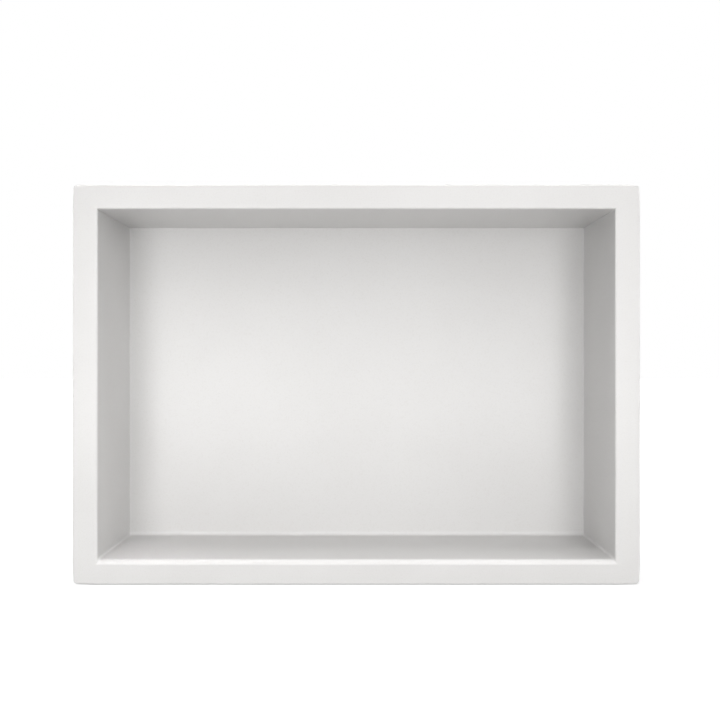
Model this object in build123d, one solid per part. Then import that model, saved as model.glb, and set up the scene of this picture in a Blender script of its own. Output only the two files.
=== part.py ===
from build123d import *
import math
import os

# Recessed shower niche insert, one casting of white solid-surface resin.
# A flat flange lies on the finished wall and frames a plain five-sided recess.
# Seen from the room, +X is right and +Z is up, and +Y points into the wall.
# The origin is the centre of the flange's back face, on the wall's surface.

# Driving dimensions in millimetres, with angles in degrees

# Flange
flange_width = 431.8
flange_height = 304.8
flange_thickness = 6.0
rim_width = 19.05
edge_roundover = 1.6
back_edge_break = 0.5

# Flange outline near a corner: the sides ease in before the small radius
corner_radius = 2.7
corner_lead_in = 21.0
corner_ease = 0.7

# Recess, measured from the front of the flange
recess_depth = 76.2
draft_angle = 0.6
mouth_roundover = 1.6
lip_roundover = 4.0
shelf_cove = 3.0
corner_cove = 0.8

# Outside of the box behind the flange
wall_thickness = 6.0
box_edge_radius = 5.0
root_fillet = 3.0

# Sizes that follow from these
opening_width = flange_width - 2 * rim_width
opening_height = flange_height - 2 * rim_width
slope = math.radians(draft_angle)
box_offset = wall_thickness / math.cos(slope) - flange_thickness * math.tan(slope)
box_width = opening_width + 2 * box_offset
box_height = opening_height + 2 * box_offset
box_depth = recess_depth - flange_thickness + wall_thickness


def facing_wall(y):
    """Sketch plane parallel to the wall at depth y, facing into the wall."""
    return Plane(origin=(0, y, 0), x_dir=(1, 0, 0), z_dir=(0, 1, 0))


def front_face(solid):
    """Face nearest to the room."""
    return solid.faces().sort_by(Axis.Y)[0]


def back_face(solid):
    """Face furthest from the room."""
    return solid.faces().sort_by(Axis.Y)[-1]


def flange_outline():
    """Rectangle whose straight sides ease in on wide arcs before each small corner radius."""
    half_width = flange_width / 2
    half_height = flange_height / 2
    straight_x = half_width - corner_lead_in
    straight_y = half_height - corner_lead_in
    border = Curve()
    for side in (-1, 1):
        border += Line((-straight_x, side * half_height), (straight_x, side * half_height))
        border += Line((side * half_width, -straight_y), (side * half_width, straight_y))
    for across in (-1, 1):
        for along in (-1, 1):
            tip = (across * (half_width - corner_ease), along * (half_height - corner_ease))
            border += TangentArc((across * straight_x, along * half_height), tip, tangent=(across, 0))
            border += TangentArc((across * half_width, along * straight_y), tip, tangent=(0, along))
    outline = make_face(border.edges())
    tips = outline.vertices().sort_by(SortBy.DISTANCE)[-4:]
    return fillet(tips, corner_radius)


def flange():
    """Flat plate with a rounded front edge and a lightly broken back edge."""
    plate = extrude(facing_wall(-flange_thickness) * flange_outline(), flange_thickness)
    plate = fillet(front_face(plate).edges(), edge_roundover)
    return fillet(back_face(plate).edges(), back_edge_break)


def tapered_block(width, height, depth, y):
    """Block that runs into the wall from depth y and narrows by the draft on its four sides."""
    start = facing_wall(y)
    block = extrude(start * Rectangle(width, height), depth)
    return draft(block.faces().filter_by(Axis.Y, reverse=True), start, draft_angle)


def box():
    """Outside of the box, tapered with the recess so that its wall is even, with rounded edges."""
    block = tapered_block(box_width, box_height, box_depth, 0)
    return fillet(block.edges() - front_face(block).edges(), box_edge_radius)


def recess():
    """Hollow of the niche. The taper that frees the mould also pitches the shelf towards the room."""
    hollow = tapered_block(opening_width, opening_height, recess_depth, -flange_thickness)
    shelf = hollow.faces().sort_by(Axis.Z)[0]
    shelf_back = shelf.edges().sort_by(Axis.Y)[-1]
    corners = hollow.edges() - front_face(hollow).edges() - shelf.edges()
    return fillet(shelf_back, shelf_cove) & fillet(corners, corner_cove)


def mouth_edges(casting):
    """Edges round the mouth on the front of the flange, the bottom one first."""
    return front_face(casting).inner_wires()[0].edges().sort_by(Axis.Z)


def round_mouth(casting):
    """Wide roundover on the bottom lip, mitred into a small one on the sides and top."""
    casting = fillet(mouth_edges(casting)[0], lip_roundover)
    return fillet(mouth_edges(casting)[1:], mouth_roundover)


def niche_insert():
    """Flange and box in one casting, hollowed by the recess and rounded where they meet."""
    casting = flange() + box()
    ring = casting.faces().filter_by(Plane.XZ).filter_by(lambda face: face.inner_wires())[-1]
    casting = fillet(ring.inner_wires()[0].edges(), root_fillet)
    casting -= recess()
    return round_mouth(casting)


os.makedirs("parts", exist_ok=True)
export_step(niche_insert(), "parts/niche_insert.step")
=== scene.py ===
import math

import bmesh
import bpy
from bpy.props import FloatProperty, FloatVectorProperty, IntProperty, PointerProperty
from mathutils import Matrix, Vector


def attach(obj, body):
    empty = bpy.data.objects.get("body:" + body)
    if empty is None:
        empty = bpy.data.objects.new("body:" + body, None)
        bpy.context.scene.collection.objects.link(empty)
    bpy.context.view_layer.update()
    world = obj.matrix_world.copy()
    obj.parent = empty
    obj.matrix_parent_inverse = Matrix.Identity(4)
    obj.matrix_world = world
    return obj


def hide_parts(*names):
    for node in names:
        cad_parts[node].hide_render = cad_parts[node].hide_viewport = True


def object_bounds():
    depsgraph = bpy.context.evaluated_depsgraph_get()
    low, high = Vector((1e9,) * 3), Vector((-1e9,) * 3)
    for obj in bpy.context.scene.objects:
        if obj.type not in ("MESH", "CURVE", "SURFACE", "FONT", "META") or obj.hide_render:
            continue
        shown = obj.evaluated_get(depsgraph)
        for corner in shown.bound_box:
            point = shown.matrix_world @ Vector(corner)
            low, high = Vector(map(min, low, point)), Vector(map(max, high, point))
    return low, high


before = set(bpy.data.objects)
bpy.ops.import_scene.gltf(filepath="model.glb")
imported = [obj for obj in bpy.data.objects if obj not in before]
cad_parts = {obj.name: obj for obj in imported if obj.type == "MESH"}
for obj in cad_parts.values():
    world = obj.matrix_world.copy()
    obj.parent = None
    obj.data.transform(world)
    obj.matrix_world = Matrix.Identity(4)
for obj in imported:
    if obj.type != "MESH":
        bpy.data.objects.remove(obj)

bl_info = {
    "name": "Shower Niche Insert",
    "version": (1, 0, 0),
    "blender": (4, 5, 0),
    "location": "3D View > Sidebar > Niche",
    "description": "Models a moulded shower niche insert and the studio that shows it",
    "category": "Add Mesh",
}

# The frame: one casting whose flange lies on the wall at y = 0 and faces the room along -Y
CAD_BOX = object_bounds()
CAD_LOW, CAD_HIGH = CAD_BOX
BODY = "root"
NODE = "niche_insert"

# Points within this distance count as being in the same place, in metres
NEAR = 1e-5

# Faces point the same way when the cosine between them is above this
SAME_WAY = 0.999

# Share of its full radius that the shelf's end cove still has at the mouth, where it runs out
SHARPEST = 0.1

# The points of an end cove lie within this many radii of the sharp corner that it fills
COVE_REACH = 1.5

# Edges sharper than this stay sharp, and large faces lead the shading of the roundings beside them
SMOOTH_ANGLE = math.radians(30)
LARGE_FACE_WEIGHT = 100

# Refractive index of the resin
RESIN_IOR = 1.49

# Soft mottling: scale per metre, detail and roughness of its noise, and the levels that tone and gloss span
MOTTLING_NOISE = (9.0, 3.0, 0.55)
TONE_LEVELS = (0.3, 0.6)
GLOSS_LEVELS = (0.3, 0.7)

# Fine grain: detail and roughness of its noise, and the noise levels that its flecks span
GRAIN_NOISE = (2.0, 0.6)
FLECK_LEVELS = (0.52, 0.72)

# The floor is nearly matt, and one bounce of diffuse light keeps the shading inside the white recess
FLOOR_ROUGHNESS = 0.9
DIFFUSE_BOUNCES = 1

WHITE = (1.0, 1.0, 1.0, 1.0)
MIDDLE = (0, 0, 0)


class NicheSizes(bpy.types.PropertyGroup):
    """Sizes of the casting."""

    flange_width: FloatProperty(
        name="Flange width", description="Width of the flange over all",
        default=CAD_HIGH.x - CAD_LOW.x, unit="LENGTH")
    flange_height: FloatProperty(
        name="Flange height", description="Height of the flange over all",
        default=CAD_HIGH.z - CAD_LOW.z, unit="LENGTH")
    flange_thickness: FloatProperty(
        name="Flange thickness", description="How far the flange stands off the wall",
        default=-CAD_LOW.y, unit="LENGTH")
    rim_width: FloatProperty(
        name="Rim width", description="Width of the flange round the opening",
        default=0.01905, unit="LENGTH")
    edge_roundover: FloatProperty(
        name="Edge roundover", description="Radius on the flange's front edge",
        default=0.0016, unit="LENGTH")
    back_edge_break: FloatProperty(
        name="Back edge break", description="Radius on the flange's back edge",
        default=0.0005, unit="LENGTH")
    corner_radius: FloatProperty(
        name="Corner radius", description="Small radius at each corner of the flange",
        default=0.0027, unit="LENGTH")
    corner_lead_in: FloatProperty(
        name="Corner lead-in", description="Length over which a side eases in before its corner",
        default=0.021, unit="LENGTH")
    corner_ease: FloatProperty(
        name="Corner ease", description="How far a side eases in at its corner",
        default=0.0007, unit="LENGTH")
    recess_depth: FloatProperty(
        name="Recess depth", description="Depth of the recess from the front of the flange",
        default=0.0762, unit="LENGTH")
    draft_angle: FloatProperty(
        name="Draft angle", description="Taper of the recess and of the box round it",
        default=math.radians(0.6), subtype="ANGLE")
    mouth_roundover: FloatProperty(
        name="Mouth roundover", description="Radius on the sides and top of the mouth",
        default=0.0016, unit="LENGTH")
    lip_roundover: FloatProperty(
        name="Lip roundover", description="Radius on the bottom lip of the mouth",
        default=0.004, unit="LENGTH")
    shelf_cove: FloatProperty(
        name="Shelf cove", description="Radius along the back of the shelf",
        default=0.003, unit="LENGTH")
    shelf_end_cove: FloatProperty(
        name="Shelf end cove", description="Radius along the left and right ends of the shelf",
        default=0.0018, unit="LENGTH")
    corner_cove: FloatProperty(
        name="Corner cove", description="Radius in the other inside corners at the back",
        default=0.0008, unit="LENGTH")
    wall_thickness: FloatProperty(
        name="Wall thickness", description="Thickness of the box's walls",
        default=0.006, unit="LENGTH")
    box_edge_radius: FloatProperty(
        name="Box edge radius", description="Radius on the outer edges of the box",
        default=0.005, unit="LENGTH")
    root_fillet: FloatProperty(
        name="Root fillet", description="Radius where the box meets the flange",
        default=0.003, unit="LENGTH")
    arc_steps: IntProperty(
        name="Arc steps", description="Facets along each rounded edge",
        default=7, min=3, max=16)


class SurfaceFinish(bpy.types.PropertyGroup):
    """Finish of the white solid surface."""

    colour: FloatVectorProperty(
        name="Colour", description="Colour of the moulded body",
        default=(0.845, 0.834, 0.823), subtype="COLOR", size=3, min=0.0, max=1.0)
    shade: FloatVectorProperty(
        name="Shade", description="Slightly darker tone of the soft mottling",
        default=(0.82, 0.808, 0.796), subtype="COLOR", size=3, min=0.0, max=1.0)
    roughness: FloatProperty(
        name="Roughness", description="Roughness of the satin surface",
        default=0.31, subtype="FACTOR", min=0.0, max=1.0)
    roughness_spread: FloatProperty(
        name="Roughness spread", description="How much the roughness varies from place to place",
        default=0.04, subtype="FACTOR", min=0.0, max=1.0)
    grain_size: FloatProperty(
        name="Grain size", description="Size of the mineral grain in the surface",
        default=0.0012, unit="LENGTH")
    grain_height: FloatProperty(
        name="Grain height", description="Height of the grain that the sanded surface keeps",
        default=0.000012, unit="LENGTH")
    fleck: FloatVectorProperty(
        name="Fleck", description="Tint of the grain's flecks over the body",
        default=(0.965, 0.96, 0.955), subtype="COLOR", size=3, min=0.0, max=1.0)


class StudioSettings(bpy.types.PropertyGroup):
    """Camera, floor and lamps."""

    camera_distance: FloatProperty(
        name="Camera distance", description="From the front of the flange to the camera",
        default=0.558, unit="LENGTH")
    camera_side: FloatProperty(
        name="Camera side", description="How far the camera is to the right of the middle",
        default=0.0028, unit="LENGTH")
    camera_height: FloatProperty(
        name="Camera height", description="How far the camera is above the middle",
        default=0.0186, unit="LENGTH")
    lens: FloatProperty(
        name="Lens", description="Focal length for a sensor 36 mm wide",
        default=36.73, unit="CAMERA")
    floor_size: FloatProperty(
        name="Floor size", description="Side of the square floor",
        default=12.0, unit="LENGTH")
    floor_colour: FloatVectorProperty(
        name="Floor colour", description="Colour of the floor under its glow",
        default=(0.35, 0.35, 0.35), subtype="COLOR", size=3, min=0.0, max=1.0)
    floor_glow: FloatProperty(
        name="Floor glow", description="How bright the floor looks in full shade, where 1 is white",
        default=0.7, min=0.0, max=1.0)
    shadow_reach: FloatProperty(
        name="Shadow reach", description="How far from the middle the floor shows a full shadow",
        default=0.3, unit="LENGTH")
    white_reach: FloatProperty(
        name="White reach", description="How far from the middle the floor stops showing a shadow",
        default=0.9, unit="LENGTH")
    fill: FloatProperty(
        name="Fill", description="Strength of the even light from all round",
        default=0.01, min=0.0, max=1.0)


def begin_piece(name, add_primitive, **options):
    """Adds one primitive with nothing else selected, names it and opens it for editing."""
    bpy.ops.object.select_all(action="DESELECT")
    add_primitive(**options)
    piece = bpy.context.object
    piece.name = name
    piece.data.name = name
    bpy.ops.object.transform_apply(location=True, rotation=True, scale=True)
    bpy.ops.object.mode_set(mode="EDIT")
    return piece


def pick(piece, kind, wanted):
    """Selects only the vertices, edges or faces of the edited piece that are wanted."""
    bpy.ops.mesh.select_mode(type=kind)
    bpy.ops.mesh.select_all(action="DESELECT")
    mesh = bmesh.from_edit_mesh(piece.data)
    elements = {"VERT": mesh.verts, "EDGE": mesh.edges, "FACE": mesh.faces}[kind]
    chosen = [element for element in elements if wanted(element)]
    if not chosen:
        raise RuntimeError(f"nothing to select on {piece.name}")
    for element in chosen:
        element.select_set(True)
    mesh.select_flush_mode()
    bmesh.update_edit_mesh(piece.data)


def facing(direction, y):
    """Test for a face that points in a direction and lies at depth y."""
    target = Vector(direction)
    return lambda face: face.normal.dot(target) > SAME_WAY and abs(face.calc_center_median().y - y) < NEAR


def at_place(x, z):
    """Test for a vertex at a place on the wall or at one of its mirror images."""
    return lambda vertex: abs(abs(vertex.co.x) - x) < NEAR and abs(abs(vertex.co.z) - z) < NEAR


def pick_nearest_face(piece, place):
    """Selects only the face of the edited piece whose middle is nearest to a place."""
    mesh = bmesh.from_edit_mesh(piece.data)
    target = Vector(place)
    nearest = min(mesh.faces, key=lambda face: (face.calc_center_bounds() - target).length)
    pick(piece, "FACE", lambda face: face == nearest)


def mark_rectangle(piece, direction, y, half_width, bottom, top):
    """Cuts a rectangle into the flat face at depth y and selects it."""
    cuts = (
        ((-half_width, y, 0), (1, 0, 0)),
        ((half_width, y, 0), (1, 0, 0)),
        ((0, y, bottom), (0, 0, 1)),
        ((0, y, top), (0, 0, 1)),
    )
    for place, across in cuts:
        pick(piece, "FACE", facing(direction, y))
        bpy.ops.mesh.bisect(plane_co=place, plane_no=across)
    pick_nearest_face(piece, (0, y, (bottom + top) / 2))


def wall_offset(depth, start_radius, end_radius, full_depth, slope):
    """Sideways place of a drafted wall at a depth, with a rounded start and a rounded end."""
    reach = math.tan((math.pi / 2 - slope) / 2)
    if depth < start_radius * (1 - math.sin(slope)):
        left = start_radius - depth
        return start_radius * reach - math.sqrt(start_radius**2 - left**2)
    past = depth - (full_depth - end_radius)
    if past > end_radius * math.sin(slope):
        inside = max(end_radius**2 - past**2, 0.0)
        return -full_depth * math.tan(slope) - end_radius * reach + math.sqrt(inside)
    return -depth * math.tan(slope)


def start_depths(radius, slope, steps, skip=0.0):
    """Depths of even steps round a rounded start, past those that are skipped."""
    first = math.acos(1 - skip / radius)
    last = math.pi / 2 - slope
    turns = [first + (last - first) * i / steps for i in range(1, steps + 1)]
    return [radius * (1 - math.cos(turn)) for turn in turns]


def end_depths(radius, full_depth, slope, steps, stop=0.0):
    """Depths of even steps round a rounded end, up to a stop short of the full depth."""
    first = slope
    last = math.asin(1 - stop / radius)
    turns = [first + (last - first) * i / steps for i in range(steps + 1)]
    return [full_depth - radius * (1 - math.sin(turn)) for turn in turns]


class NICHE_OT_casting(bpy.types.Operator):
    """Models the niche insert as one casting: flange, drafted recess and the box behind it"""

    bl_idname = "niche.casting"
    bl_label = "Casting"

    def execute(self, context):
        sizes = context.scene.niche_sizes
        casting = self.add_plate(sizes)
        self.ease_corners(casting, sizes)
        self.round_plate_edges(casting, sizes)
        self.sink_recess(casting, sizes)
        self.raise_box(casting, sizes)
        self.finish(casting)
        casting.data.materials.append(solid_surface(context.scene.niche_finish))
        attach(casting, BODY)
        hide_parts(NODE)
        return {"FINISHED"}

    def add_plate(self, sizes):
        """Plate of the flange's width and height, as thick as its sides are straight."""
        front = -sizes.flange_thickness + sizes.edge_roundover
        back = -sizes.back_edge_break
        return begin_piece(
            "niche_casting", bpy.ops.mesh.primitive_cube_add, size=1.0,
            location=(0, (front + back) / 2, 0),
            scale=(sizes.flange_width, back - front, sizes.flange_height))

    def ease_corners(self, plate, sizes):
        """Eases the sides in towards the corners of the plate and rounds each corner."""
        half_width = sizes.flange_width / 2
        half_height = sizes.flange_height / 2
        run = sizes.corner_lead_in - sizes.corner_ease
        ease_radius = (run**2 + sizes.corner_ease**2) / (2 * sizes.corner_ease)
        places = [run * i / sizes.arc_steps for i in range(1, sizes.arc_steps)]
        straight_x = half_width - sizes.corner_lead_in
        straight_z = half_height - sizes.corner_lead_in
        for along in places:
            for side in (-1, 1):
                bpy.ops.mesh.select_all(action="SELECT")
                bpy.ops.mesh.bisect(plane_co=(side * (straight_x + along), 0, 0), plane_no=(1, 0, 0))
                bpy.ops.mesh.select_all(action="SELECT")
                bpy.ops.mesh.bisect(plane_co=(0, 0, side * (straight_z + along)), plane_no=(0, 0, 1))
        for along in places:
            ease = ease_radius - math.sqrt(ease_radius**2 - along**2)
            pick(plate, "VERT", at_place(straight_x + along, half_height))
            bpy.ops.transform.resize(value=(1, 1, 1 - ease / half_height), center_override=MIDDLE)
            pick(plate, "VERT", at_place(half_width, straight_z + along))
            bpy.ops.transform.resize(value=(1 - ease / half_width, 1, 1), center_override=MIDDLE)
        pick(plate, "VERT", at_place(half_width, half_height))
        shrink = (1 - sizes.corner_ease / half_width, 1, 1 - sizes.corner_ease / half_height)
        bpy.ops.transform.resize(value=shrink, center_override=MIDDLE)
        for direction in ((0, -1, 0), (0, 1, 0)):
            pick(plate, "FACE", lambda face: face.normal.dot(Vector(direction)) > SAME_WAY)
            bpy.ops.mesh.dissolve_faces()
        tip = at_place(half_width - sizes.corner_ease, half_height - sizes.corner_ease)
        pick(plate, "EDGE", lambda edge: all(tip(vertex) for vertex in edge.verts))
        tip_reach = sizes.corner_radius * math.tan(math.pi / 4 - math.asin(run / ease_radius))
        bpy.ops.mesh.bevel(offset=tip_reach, segments=sizes.arc_steps, affect="EDGES")

    def round_plate_edges(self, plate, sizes):
        """Rounds the plate's front edge and breaks its back edge."""
        front = -sizes.flange_thickness + sizes.edge_roundover
        edges = (
            ((0, -1, 0), front, sizes.edge_roundover, sizes.arc_steps),
            ((0, 1, 0), -sizes.back_edge_break, sizes.back_edge_break, sizes.arc_steps // 2),
        )
        for direction, y, radius, steps in edges:
            pick(plate, "FACE", facing(direction, y))
            turn = math.pi / 2 / steps
            for i in range(steps):
                bpy.ops.mesh.inset(
                    thickness=radius * (math.cos(i * turn) - math.cos((i + 1) * turn)),
                    depth=radius * (math.sin((i + 1) * turn) - math.sin(i * turn)))

    def sink_recess(self, casting, sizes):
        """Sinks the opening in steps: rounded mouth and lip, drafted walls, coves at the back."""
        slope = sizes.draft_angle
        depth = sizes.recess_depth
        steps = sizes.arc_steps
        front = -sizes.flange_thickness
        small_end = sizes.mouth_roundover * (1 - math.sin(slope))
        depths = start_depths(sizes.mouth_roundover, slope, steps)
        depths += start_depths(sizes.lip_roundover, slope, steps, skip=small_end)
        depths += end_depths(sizes.shelf_cove, depth, slope, steps, stop=sizes.corner_cove)
        depths += end_depths(sizes.corner_cove, depth, slope, steps)[1:]

        def outline(at):
            side = wall_offset(at, sizes.mouth_roundover, sizes.corner_cove, depth, slope)
            base = wall_offset(at, sizes.lip_roundover, sizes.shelf_cove, depth, slope)
            half_width = sizes.flange_width / 2 - sizes.rim_width + side
            top = sizes.flange_height / 2 - sizes.rim_width + side
            bottom = -(sizes.flange_height / 2 - sizes.rim_width + base)
            return half_width, bottom, top

        half_width, bottom, top = outline(0.0)
        mark_rectangle(casting, (0, -1, 0), front, half_width, bottom, top)
        cove = sizes.shelf_end_cove * SHARPEST
        tips = [Vector((side * half_width, front, bottom)) for side in (-1, 1)]
        pick(casting, "VERT", lambda vertex: any((vertex.co - tip).length < NEAR for tip in tips))
        bpy.ops.mesh.bevel(offset=cove, offset_type="ABSOLUTE", segments=steps, affect="VERTICES")
        pick_nearest_face(casting, (0, front, (bottom + top) / 2))
        last = 0.0
        for at in depths:
            new_half, new_bottom, new_top = outline(at)
            y = front + at
            stretch = (new_half / half_width, 1, (new_top - new_bottom) / (top - bottom))
            bpy.ops.mesh.extrude_region_move(TRANSFORM_OT_translate={"value": (0, at - last, 0)})
            bpy.ops.transform.resize(value=stretch, center_override=(0, y, (top + bottom) / 2))
            bpy.ops.transform.translate(value=(0, 0, (new_top + new_bottom - top - bottom) / 2))
            half_width, bottom, top = new_half, new_bottom, new_top
            new_cove = sizes.shelf_end_cove * max(SHARPEST, min(1.0, at / sizes.lip_roundover))
            self.open_coves(casting, half_width, bottom, y, cove, new_cove)
            pick_nearest_face(casting, (0, y, (bottom + top) / 2))
            cove = new_cove
            last = at

    def open_coves(self, casting, half_width, bottom, y, cove, new_cove):
        """Widens the rounded bottom corners of the recess's outline at depth y."""
        if new_cove == cove:
            return
        for side in (-1, 1):
            tip = Vector((side * half_width, y, bottom))
            pick(casting, "VERT", lambda vertex: (vertex.co - tip).length < COVE_REACH * cove)
            bpy.ops.transform.resize(value=(new_cove / cove,) * 3, center_override=tip)

    def raise_box(self, casting, sizes):
        """Raises the box behind the flange in steps: root fillet, drafted walls, rounded back edges."""
        slope = sizes.draft_angle
        depth = sizes.recess_depth - sizes.flange_thickness + sizes.wall_thickness
        wall = sizes.wall_thickness / math.cos(slope) - sizes.flange_thickness * math.tan(slope)

        def offset(at):
            return wall_offset(at, sizes.root_fillet, sizes.box_edge_radius, depth, slope)

        depths = start_depths(sizes.root_fillet, slope, sizes.arc_steps)
        depths += end_depths(sizes.box_edge_radius, depth, slope, sizes.arc_steps)
        reach = wall + offset(0.0)
        half_width = sizes.flange_width / 2 - sizes.rim_width + reach
        half_height = sizes.flange_height / 2 - sizes.rim_width + reach
        mark_rectangle(casting, (0, 1, 0), 0.0, half_width, -half_height, half_height)
        corner = at_place(half_width, half_height)
        pick(casting, "VERT", lambda vertex: corner(vertex) and abs(vertex.co.y) < NEAR)
        bpy.ops.mesh.bevel(
            offset=offset(0.0) - offset(depth), offset_type="ABSOLUTE",
            segments=sizes.arc_steps, affect="VERTICES")
        pick_nearest_face(casting, MIDDLE)
        last = 0.0
        for at in depths:
            bpy.ops.mesh.inset(thickness=offset(last) - offset(at), depth=at - last)
            last = at

    def finish(self, casting):
        """Merges points that coincide, turns the faces outwards and smooths all but the sharp edges."""
        bpy.ops.mesh.select_all(action="SELECT")
        bpy.ops.mesh.remove_doubles(threshold=NEAR)
        bpy.ops.mesh.normals_make_consistent(inside=False)
        bpy.ops.object.mode_set(mode="OBJECT")
        bpy.ops.object.shade_smooth_by_angle(angle=SMOOTH_ANGLE)
        weighted = casting.modifiers.new("even_shading", "WEIGHTED_NORMAL")
        weighted.keep_sharp = True
        weighted.weight = LARGE_FACE_WEIGHT
        bpy.ops.object.modifier_apply(modifier=weighted.name)


def solid_surface(finish):
    """White mineral-filled resin with a sanded satin finish, faint mottling and fine grain."""
    material = bpy.data.materials.new("solid_surface")
    material.use_nodes = True
    nodes = material.node_tree.nodes
    links = material.node_tree.links
    shader = nodes["Principled BSDF"]
    shader.inputs["IOR"].default_value = RESIN_IOR
    shader.inputs["Specular IOR Level"].default_value = 0.5
    place = nodes.new("ShaderNodeTexCoord")

    def noise(scale, detail, roughness):
        texture = nodes.new("ShaderNodeTexNoise")
        texture.inputs["Scale"].default_value = scale
        texture.inputs["Detail"].default_value = detail
        texture.inputs["Roughness"].default_value = roughness
        links.new(place.outputs["Object"], texture.inputs["Vector"])
        return texture

    def spread(texture, levels, lowest=0.0, highest=1.0):
        remap = nodes.new("ShaderNodeMapRange")
        remap.inputs["From Min"].default_value, remap.inputs["From Max"].default_value = levels
        remap.inputs["To Min"].default_value = lowest
        remap.inputs["To Max"].default_value = highest
        links.new(texture.outputs["Fac"], remap.inputs["Value"])
        return remap.outputs["Result"]

    mottling = noise(*MOTTLING_NOISE)
    grain = noise(1.0 / finish.grain_size, *GRAIN_NOISE)
    body = nodes.new("ShaderNodeMix")
    body.data_type = "RGBA"
    body.inputs["A"].default_value = (*finish.shade, 1.0)
    body.inputs["B"].default_value = (*finish.colour, 1.0)
    links.new(spread(mottling, TONE_LEVELS), body.inputs["Factor"])
    fleck = nodes.new("ShaderNodeMix")
    fleck.data_type = "RGBA"
    fleck.blend_type = "MULTIPLY"
    fleck.inputs["B"].default_value = (*finish.fleck, 1.0)
    links.new(body.outputs["Result"], fleck.inputs["A"])
    links.new(spread(grain, FLECK_LEVELS), fleck.inputs["Factor"])
    links.new(fleck.outputs["Result"], shader.inputs["Base Color"])
    lowest = finish.roughness - finish.roughness_spread / 2
    highest = finish.roughness + finish.roughness_spread / 2
    links.new(spread(mottling, GLOSS_LEVELS, lowest, highest), shader.inputs["Roughness"])
    bump = nodes.new("ShaderNodeBump")
    bump.inputs["Strength"].default_value = 1.0
    bump.inputs["Distance"].default_value = finish.grain_height
    links.new(grain.outputs["Fac"], bump.inputs["Height"])
    links.new(bump.outputs["Normal"], shader.inputs["Normal"])
    return material


# Soft panels of the studio, aimed at the middle: name, place and then width and height in metres, watts
LAMPS = (
    ("front_panel", (0.0, -1.5, 1.1), (2.4, 2.4), 7.2),
    ("high_panel", (0.0, -1.6, 1.8), (2.0, 1.2), 6.2),
    ("right_front_panel", (0.8, -2.4, 1.0), (1.4, 1.4), 5.2),
    ("right_panel", (1.6, -0.7, 0.3), (0.8, 0.8), 3.5),
    ("level_panel", (0.0, -2.0, 0.1), (1.6, 0.4), 3.9),
    ("low_panel", (0.0, -0.6, -0.07), (0.9, 0.12), 1.4),
    ("near_left_panel", (-0.3, -0.65, 0.05), (0.3, 0.3), 0.5),
    ("near_right_panel", (0.3, -0.65, 0.05), (0.3, 0.3), 0.18),
    ("top_strip", (0.0, -0.105, 1.0), (1.6, 0.08), 3.0),
    ("lip_strip", (0.0, -0.02, 1.0), (1.6, 0.02), 3.2),
    ("left_side_panel", (-1.3, 0.35, 0.3), (0.8, 0.8), 6.0),
    ("right_side_panel", (1.3, 0.35, 0.3), (0.8, 0.8), 1.5),
    ("back_panel", (0.0, 1.6, 0.9), (1.6, 1.6), 20.0),
)

# Small gridded lamp over the left end of the shelf: place, aim, width and height in metres, watts, beam
SHELF_LAMP = ((-0.175, -0.2, 1.0), (-0.17, 0.015, -0.133), (0.08, 0.08), 0.005, math.radians(8))


def add_lamp(name, place, aim, size, power, beam=math.pi):
    """Adds one rectangular panel that shines from a place to its aim, within a beam."""
    turn = (Vector(aim) - Vector(place)).to_track_quat("-Z", "Y").to_euler()
    bpy.ops.object.light_add(type="AREA", location=place, rotation=turn)
    lamp = bpy.context.object
    lamp.name = name
    lamp.data.shape = "RECTANGLE"
    lamp.data.size, lamp.data.size_y = size
    lamp.data.energy = power
    lamp.data.spread = beam


def backdrop_rays(nodes, links):
    """One where a camera, glossy or transmission ray looks, so that all of them see the backdrop."""
    rays = nodes.new("ShaderNodeLightPath")
    seen = rays.outputs["Is Camera Ray"]
    for name in ("Is Glossy Ray", "Is Transmission Ray"):
        larger = nodes.new("ShaderNodeMath")
        larger.operation = "MAXIMUM"
        links.new(seen, larger.inputs[0])
        links.new(rays.outputs[name], larger.inputs[1])
        seen = larger.outputs["Value"]
    return seen


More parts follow.
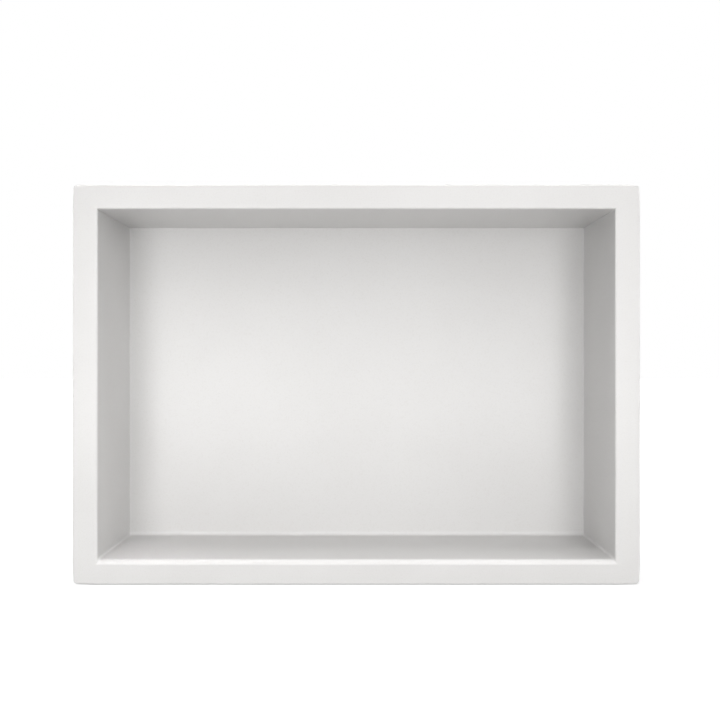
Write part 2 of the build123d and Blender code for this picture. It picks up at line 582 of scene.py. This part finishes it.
class NICHE_OT_stage(bpy.types.Operator):
    """Sets up the pale floor, the white surround, the soft lamps and the camera"""

    bl_idname = "niche.stage"
    bl_label = "Stage"

    def execute(self, context):
        studio = context.scene.niche_studio
        self.add_floor(studio)
        self.set_world(context.scene, studio)
        self.add_lamps()
        self.add_camera(context.scene, studio)
        context.scene.view_settings.view_transform = "Standard"
        context.scene.cycles.diffuse_bounces = DIFFUSE_BOUNCES
        return {"FINISHED"}

    def add_floor(self, studio):
        """Pale floor under the flange's lower edge, white where nothing shades it."""
        bpy.ops.object.select_all(action="DESELECT")
        bpy.ops.mesh.primitive_plane_add(size=studio.floor_size, location=(0, 0, CAD_LOW.z))
        floor = bpy.context.object
        floor.name = "floor"
        bpy.ops.object.transform_apply(location=True, rotation=True, scale=True)
        material = bpy.data.materials.new("pale_floor")
        material.use_nodes = True
        nodes = material.node_tree.nodes
        links = material.node_tree.links
        shader = nodes["Principled BSDF"]
        shader.inputs["Base Color"].default_value = (*studio.floor_colour, 1.0)
        shader.inputs["Roughness"].default_value = FLOOR_ROUGHNESS
        shader.inputs["Emission Color"].default_value = WHITE
        place = nodes.new("ShaderNodeTexCoord")
        distance = nodes.new("ShaderNodeVectorMath")
        distance.operation = "LENGTH"
        links.new(place.outputs["Object"], distance.inputs[0])
        level = nodes.new("ShaderNodeMapRange")
        level.inputs["From Min"].default_value = studio.shadow_reach
        level.inputs["From Max"].default_value = studio.white_reach
        level.inputs["To Min"].default_value = studio.floor_glow
        level.inputs["To Max"].default_value = 1.0
        links.new(distance.outputs["Value"], level.inputs["Value"])
        glow = nodes.new("ShaderNodeMath")
        glow.operation = "MULTIPLY"
        links.new(backdrop_rays(nodes, links), glow.inputs[0])
        links.new(level.outputs["Result"], glow.inputs[1])
        links.new(glow.outputs["Value"], shader.inputs["Emission Strength"])
        floor.data.materials.append(material)

    def set_world(self, scene, studio):
        """White surround for what looks at it, and a low even fill for the rest."""
        world = bpy.data.worlds.new("surround")
        world.use_nodes = True
        nodes = world.node_tree.nodes
        links = world.node_tree.links
        background = nodes["Background"]
        background.inputs["Color"].default_value = WHITE
        level = nodes.new("ShaderNodeMapRange")
        level.inputs["To Min"].default_value = studio.fill
        level.inputs["To Max"].default_value = 1.0
        links.new(backdrop_rays(nodes, links), level.inputs["Value"])
        links.new(level.outputs["Result"], background.inputs["Strength"])
        scene.world = world

    def add_lamps(self):
        """Soft panels aimed at the middle, and one small lamp for the left end of the shelf."""
        for name, place, size, power in LAMPS:
            add_lamp(name, place, MIDDLE, size, power)
        place, aim, size, power, beam = SHELF_LAMP
        add_lamp("shelf_lamp", place, aim, size, power, beam)

    def add_camera(self, scene, studio):
        """Camera square to the wall, as the photograph was taken."""
        place = (studio.camera_side, CAD_LOW.y - studio.camera_distance, studio.camera_height)
        bpy.ops.object.camera_add(location=place, rotation=(math.pi / 2, 0, 0))
        camera = bpy.context.object
        camera.data.lens = studio.lens
        scene.camera = camera


class NICHE_PT_sidebar(bpy.types.Panel):
    """Lists what the add-on builds, with the sizes and finish that it uses"""

    bl_idname = "NICHE_PT_sidebar"
    bl_label = "Shower Niche Insert"
    bl_space_type = "VIEW_3D"
    bl_region_type = "UI"
    bl_category = "Niche"

    def draw(self, context):
        scene = context.scene
        for operator in (NICHE_OT_casting, NICHE_OT_stage):
            self.layout.operator(operator.bl_idname)
        for group in (scene.niche_sizes, scene.niche_finish, scene.niche_studio):
            column = self.layout.column()
            for name in group.bl_rna.properties.keys():
                if name not in ("rna_type", "name"):
                    column.prop(group, name)


CLASSES = (
    NicheSizes,
    SurfaceFinish,
    StudioSettings,
    NICHE_OT_casting,
    NICHE_OT_stage,
    NICHE_PT_sidebar,
)


def register():
    for each in CLASSES:
        bpy.utils.register_class(each)
    bpy.types.Scene.niche_sizes = PointerProperty(type=NicheSizes)
    bpy.types.Scene.niche_finish = PointerProperty(type=SurfaceFinish)
    bpy.types.Scene.niche_studio = PointerProperty(type=StudioSettings)


def unregister():
    del bpy.types.Scene.niche_studio
    del bpy.types.Scene.niche_finish
    del bpy.types.Scene.niche_sizes
    for each in reversed(CLASSES):
        bpy.utils.unregister_class(each)


def main():
    register()
    bpy.ops.niche.casting()
    bpy.ops.niche.stage()


if __name__ == "__main__":
    main()
